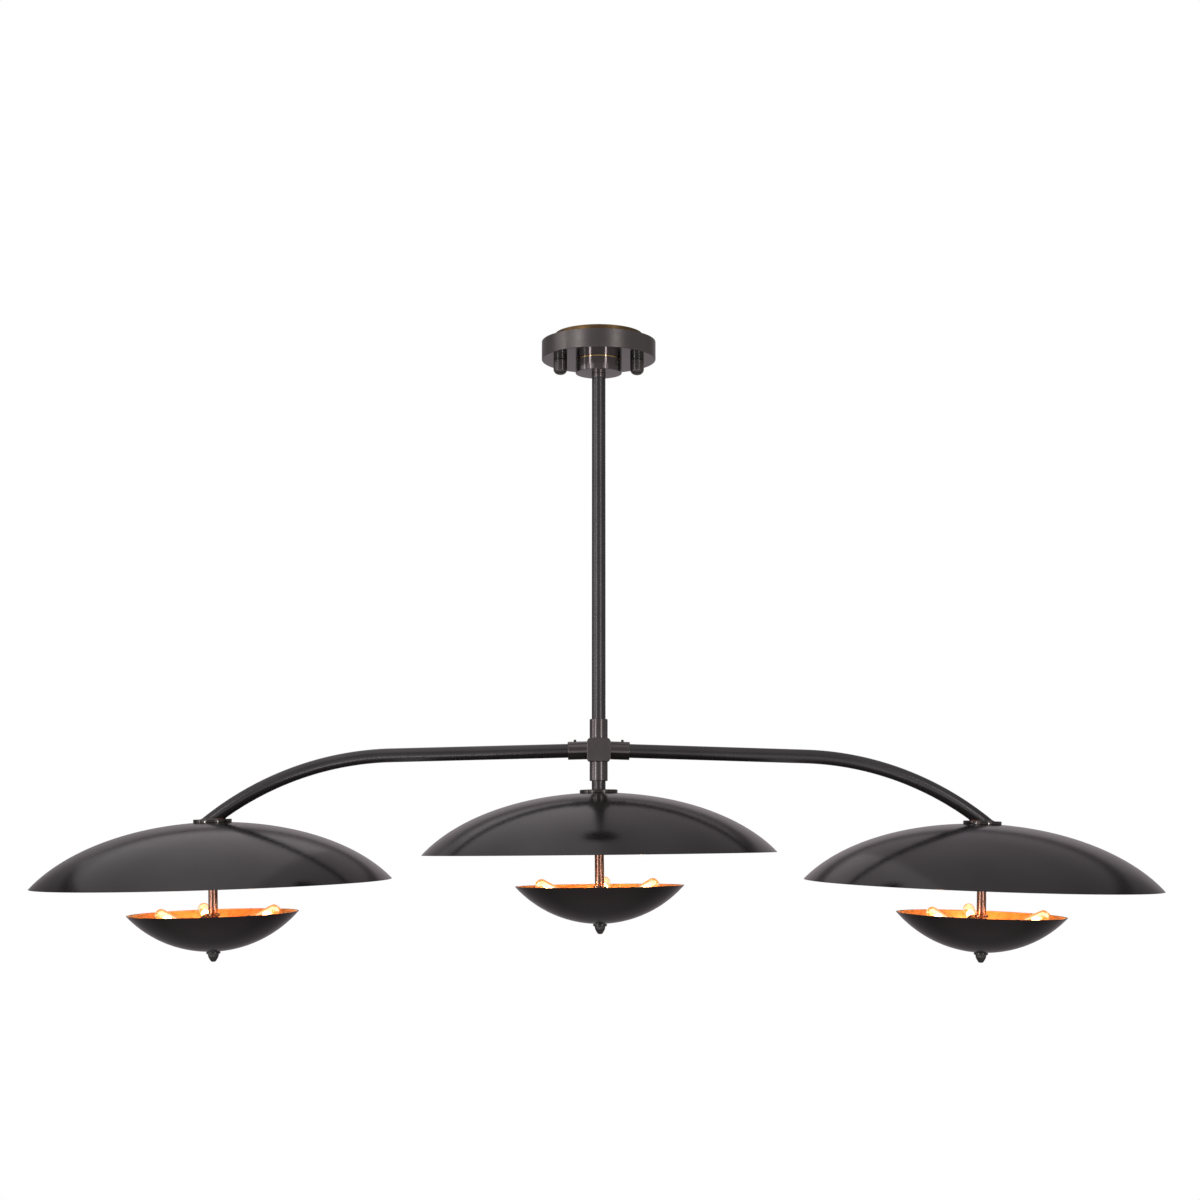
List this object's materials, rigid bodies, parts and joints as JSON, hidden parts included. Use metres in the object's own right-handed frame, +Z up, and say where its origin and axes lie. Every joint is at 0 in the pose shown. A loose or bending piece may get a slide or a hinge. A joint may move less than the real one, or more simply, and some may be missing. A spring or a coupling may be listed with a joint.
{
  "type": "ceiling light",
  "caption": "Linear ceiling light: stem and cross hub with curved arms, wide dished shades over small uplight bowls with capsule bulbs, dark bronze with golden insides.",
  "frame": {"origin": "centre of the ceiling plate's upper face, where it lies against the junction box", "axes": "+Z up into the ceiling, +X along the arms to the right lamp, -Y to the front"},
  "size_m": [1.2649, 0.4026, 0.7192],
  "materials": {
    "bronze_enamel": "dark bronze lacquer over steel, satin gloss",
    "bronze_dish": "dark bronze outside and copper-gold leaf inside, satin gloss",
    "plate_steel": "yellow zinc plate on pressed steel",
    "brass": "polished brass",
    "zinc_steel": "zinc plated thread",
    "ceramic": "glazed steatite",
    "bulb_glass": "clear quartz glass, lit",
    "tungsten": "tungsten coil and molybdenum pins"
  },
  "bodies": {
    "ceiling_mount": {"mounting_plate": "plate_steel", "plate_studs": "zinc_steel", "stud_nuts": "zinc_steel", "ground_screw": "brass", "canopy": "bronze_enamel", "cap_nuts": "bronze_enamel", "friction_washer": "brass"},
    "hanger": {"stem_collar": "bronze_enamel", "swivel_nipple": "zinc_steel", "stop_washer": "zinc_steel", "swivel_locknut": "zinc_steel", "stem_coupler": "bronze_enamel", "stem": "bronze_enamel", "hub": "bronze_enamel", "set_screws": "bronze_enamel", "lower_stem": "bronze_enamel", "left_arm": "bronze_enamel", "right_arm": "bronze_enamel", "socket_inserts": "ceramic", "shade_nuts": "zinc_steel", "lamp_rods": "zinc_steel", "left_flange": "bronze_enamel", "left_shade": "bronze_dish", "left_spindle": "bronze_enamel", "left_cluster": "bronze_enamel", "left_socket_sleeves": "bronze_enamel", "centre_flange": "bronze_enamel", "centre_shade": "bronze_dish", "centre_spindle": "bronze_enamel", "centre_cluster": "bronze_enamel", "centre_socket_sleeves": "bronze_enamel", "right_flange": "bronze_enamel", "right_shade": "bronze_dish", "right_spindle": "bronze_enamel", "right_cluster": "bronze_enamel", "right_socket_sleeves": "bronze_enamel"},
    "left_bowl_set": {"left_bowl": "bronze_dish", "left_finial": "bronze_enamel"},
    "left_bulb_1": {"left_bulb_1_glass": "bulb_glass", "left_bulb_1_wires": "tungsten"},
    "left_bulb_2": {"left_bulb_2_glass": "bulb_glass", "left_bulb_2_wires": "tungsten"},
    "left_bulb_3": {"left_bulb_3_glass": "bulb_glass", "left_bulb_3_wires": "tungsten"},
    "centre_bowl_set": {"centre_bowl": "bronze_dish", "centre_finial": "bronze_enamel"},
    "centre_bulb_1": {"centre_bulb_1_glass": "bulb_glass", "centre_bulb_1_wires": "tungsten"},
    "centre_bulb_2": {"centre_bulb_2_glass": "bulb_glass", "centre_bulb_2_wires": "tungsten"},
    "centre_bulb_3": {"centre_bulb_3_glass": "bulb_glass", "centre_bulb_3_wires": "tungsten"},
    "right_bowl_set": {"right_bowl": "bronze_dish", "right_finial": "bronze_enamel"},
    "right_bulb_1": {"right_bulb_1_glass": "bulb_glass", "right_bulb_1_wires": "tungsten"},
    "right_bulb_2": {"right_bulb_2_glass": "bulb_glass", "right_bulb_2_wires": "tungsten"},
    "right_bulb_3": {"right_bulb_3_glass": "bulb_glass", "right_bulb_3_wires": "tungsten"}
  },
  "joints": [
    {"name": "stem_swivel", "type": "hinge", "parent": "ceiling_mount", "child": "hanger", "pos_m": [0, 0, -0.0298], "axis": [0, 0, 1], "range_deg": [-164, 164]},
    {"name": "left_bowl_drop", "type": "slide", "parent": "hanger", "child": "left_bowl_set", "axis": [0.0262, 0.0183, -0.9995], "range_m": [0, 0.06]},
    {"name": "left_bulb_1_pull", "type": "slide", "parent": "hanger", "child": "left_bulb_1", "axis": [-0.6053, -0.6773, 0.4182], "range_m": [0, 0.018]},
    {"name": "left_bulb_2_pull", "type": "slide", "parent": "hanger", "child": "left_bulb_2", "axis": [0.8648, -0.1881, 0.4656], "range_m": [0, 0.018]},
    {"name": "left_bulb_3_pull", "type": "slide", "parent": "hanger", "child": "left_bulb_3", "axis": [-0.2945, 0.8409, 0.4541], "range_m": [0, 0.018]},
    {"name": "centre_bowl_drop", "type": "slide", "parent": "hanger", "child": "centre_bowl_set", "axis": [0.0105, 0, -0.9999], "range_m": [0, 0.06]},
    {"name": "centre_bulb_1_pull", "type": "slide", "parent": "hanger", "child": "centre_bulb_1", "axis": [0.078, 0.8911, 0.447], "range_m": [0, 0.018]},
    {"name": "centre_bulb_2_pull", "type": "slide", "parent": "hanger", "child": "centre_bulb_2", "axis": [-0.8177, -0.374, 0.4377], "range_m": [0, 0.018]},
    {"name": "centre_bulb_3_pull", "type": "slide", "parent": "hanger", "child": "centre_bulb_3", "axis": [0.7257, -0.5171, 0.4538], "range_m": [0, 0.018]},
    {"name": "right_bowl_drop", "type": "slide", "parent": "hanger", "child": "right_bowl_set", "axis": [-0.0305, 0.0192, -0.9993], "range_m": [0, 0.06]},
    {"name": "right_bulb_1_pull", "type": "slide", "parent": "hanger", "child": "right_bulb_1", "axis": [0.0141, 0.8862, 0.4631], "range_m": [0, 0.018]},
    {"name": "right_bulb_2_pull", "type": "slide", "parent": "hanger", "child": "right_bulb_2", "axis": [-0.7613, -0.456, 0.461], "range_m": [0, 0.018]},
    {"name": "right_bulb_3_pull", "type": "slide", "parent": "hanger", "child": "right_bulb_3", "axis": [0.788, -0.456, 0.4137], "range_m": [0, 0.018]}
  ]
}
